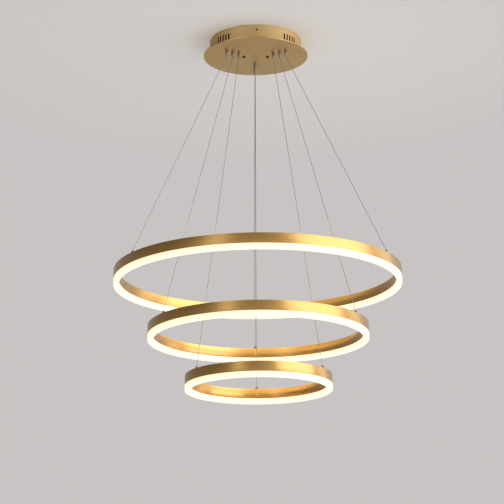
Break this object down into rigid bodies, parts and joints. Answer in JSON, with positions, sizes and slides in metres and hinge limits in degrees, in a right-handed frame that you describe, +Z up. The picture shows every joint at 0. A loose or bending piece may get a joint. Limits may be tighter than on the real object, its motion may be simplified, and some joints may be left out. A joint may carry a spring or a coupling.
{
  "type": "led ring chandelier",
  "caption": "Tiered LED pendant light: slim level gold rings with milky glowing edges hang on thin wires from a round gold ceiling canopy.",
  "frame": {"origin": "middle of the canopy's ceiling face, in the ceiling plane", "axes": "+Z up into the ceiling, square to it; the light hangs towards -Z; -Y is the front and X is level, along the two dark plate screws"},
  "size_m": [0.7999, 0.8, 1.02],
  "materials": {
    "ring_gold": "brushed, gold anodised",
    "canopy_gold": "satin gold, fine brushed",
    "milky_acrylic": "milky, lit from within",
    "led_tape": "phosphor-coated tape",
    "dark_bronze": "dark bronze plated",
    "bright_steel": "nickel plated, turned",
    "zinc_steel": "zinc plated",
    "black_steel": "black oxide",
    "wire_steel": "stranded, clear jacket",
    "driver_plastic": "fine spark-eroded",
    "foam_tape": "closed-cell foam",
    "block_plastic": "moulded"
  },
  "bodies": {
    "canopy": {"canopy_drum": "canopy_gold", "canopy_face_plate": "canopy_gold", "bracket_long_bar": "zinc_steel", "bracket_cross_bar": "zinc_steel", "bracket_rivet": "zinc_steel", "face_plate_screws": "black_steel", "drum_side_screws": "black_steel", "led_driver_case": "driver_plastic", "led_driver_end_covers": "driver_plastic", "driver_tape_pad": "foam_tape", "mains_terminal_block": "block_plastic", "gripper_barrels": "bright_steel", "gripper_nuts": "zinc_steel", "wire_upper_ends": "wire_steel", "large_rear_wire": "wire_steel", "large_left_wire": "wire_steel", "large_right_wire": "wire_steel", "medium_rear_wire": "wire_steel", "medium_left_wire": "wire_steel", "medium_right_wire": "wire_steel", "small_rear_wire": "wire_steel", "small_left_wire": "wire_steel", "small_right_wire": "wire_steel"},
    "large_ring": {"large_ring_housing": "ring_gold", "large_ring_diffuser": "milky_acrylic", "large_ring_led_strip": "led_tape", "large_ring_terminals": "dark_bronze", "large_ring_terminal_nuts": "zinc_steel", "large_ring_grub_screws": "black_steel"},
    "medium_ring": {"medium_ring_housing": "ring_gold", "medium_ring_diffuser": "milky_acrylic", "medium_ring_led_strip": "led_tape", "medium_ring_terminals": "dark_bronze", "medium_ring_terminal_nuts": "zinc_steel", "medium_ring_grub_screws": "black_steel"},
    "small_ring": {"small_ring_housing": "ring_gold", "small_ring_diffuser": "milky_acrylic", "small_ring_led_strip": "led_tape", "small_ring_terminals": "dark_bronze", "small_ring_terminal_nuts": "zinc_steel", "small_ring_grub_screws": "black_steel"},
    "large_rear_plunger": {"large_rear_plunger": "bright_steel"},
    "large_left_plunger": {"large_left_plunger": "bright_steel"},
    "large_right_plunger": {"large_right_plunger": "bright_steel"},
    "medium_rear_plunger": {"medium_rear_plunger": "bright_steel"},
    "medium_left_plunger": {"medium_left_plunger": "bright_steel"},
    "medium_right_plunger": {"medium_right_plunger": "bright_steel"},
    "small_rear_plunger": {"small_rear_plunger": "bright_steel"},
    "small_left_plunger": {"small_left_plunger": "bright_steel"},
    "small_right_plunger": {"small_right_plunger": "bright_steel"}
  },
  "joints": [
    {"name": "large_ring_height", "type": "slide", "parent": "canopy", "child": "large_ring", "axis": [0, 0, 1], "range_m": [0, 0.3], "deforming": ["large_rear_wire", "large_left_wire", "large_right_wire"]},
    {"name": "medium_ring_height", "type": "slide", "parent": "canopy", "child": "medium_ring", "axis": [0, 0, 1], "range_m": [0, 0.3], "deforming": ["medium_rear_wire", "medium_left_wire", "medium_right_wire"]},
    {"name": "small_ring_height", "type": "slide", "parent": "canopy", "child": "small_ring", "axis": [0, 0, 1], "range_m": [0, 0.3], "deforming": ["small_rear_wire", "small_left_wire", "small_right_wire"]},
    {"name": "large_rear_release", "type": "slide", "parent": "canopy", "child": "large_rear_plunger", "axis": [0, 0, 1], "range_m": [0, 0.002], "stiffness_N_per_m": 300, "springref_m": -0.002},
    {"name": "large_left_release", "type": "slide", "parent": "canopy", "child": "large_left_plunger", "axis": [0, 0, 1], "range_m": [0, 0.002], "stiffness_N_per_m": 300, "springref_m": -0.002},
    {"name": "large_right_release", "type": "slide", "parent": "canopy", "child": "large_right_plunger", "axis": [0, 0, 1], "range_m": [0, 0.002], "stiffness_N_per_m": 300, "springref_m": -0.002},
    {"name": "medium_rear_release", "type": "slide", "parent": "canopy", "child": "medium_rear_plunger", "axis": [0, 0, 1], "range_m": [0, 0.002], "stiffness_N_per_m": 300, "springref_m": -0.002},
    {"name": "medium_left_release", "type": "slide", "parent": "canopy", "child": "medium_left_plunger", "axis": [0, 0, 1], "range_m": [0, 0.002], "stiffness_N_per_m": 300, "springref_m": -0.002},
    {"name": "medium_right_release", "type": "slide", "parent": "canopy", "child": "medium_right_plunger", "axis": [0, 0, 1], "range_m": [0, 0.002], "stiffness_N_per_m": 300, "springref_m": -0.002},
    {"name": "small_rear_release", "type": "slide", "parent": "canopy", "child": "small_rear_plunger", "axis": [0, 0, 1], "range_m": [0, 0.002], "stiffness_N_per_m": 300, "springref_m": -0.002},
    {"name": "small_left_release", "type": "slide", "parent": "canopy", "child": "small_left_plunger", "axis": [0, 0, 1], "range_m": [0, 0.002], "stiffness_N_per_m": 300, "springref_m": -0.002},
    {"name": "small_right_release", "type": "slide", "parent": "canopy", "child": "small_right_plunger", "axis": [0, 0, 1], "range_m": [0, 0.002], "stiffness_N_per_m": 300, "springref_m": -0.002}
  ]
}
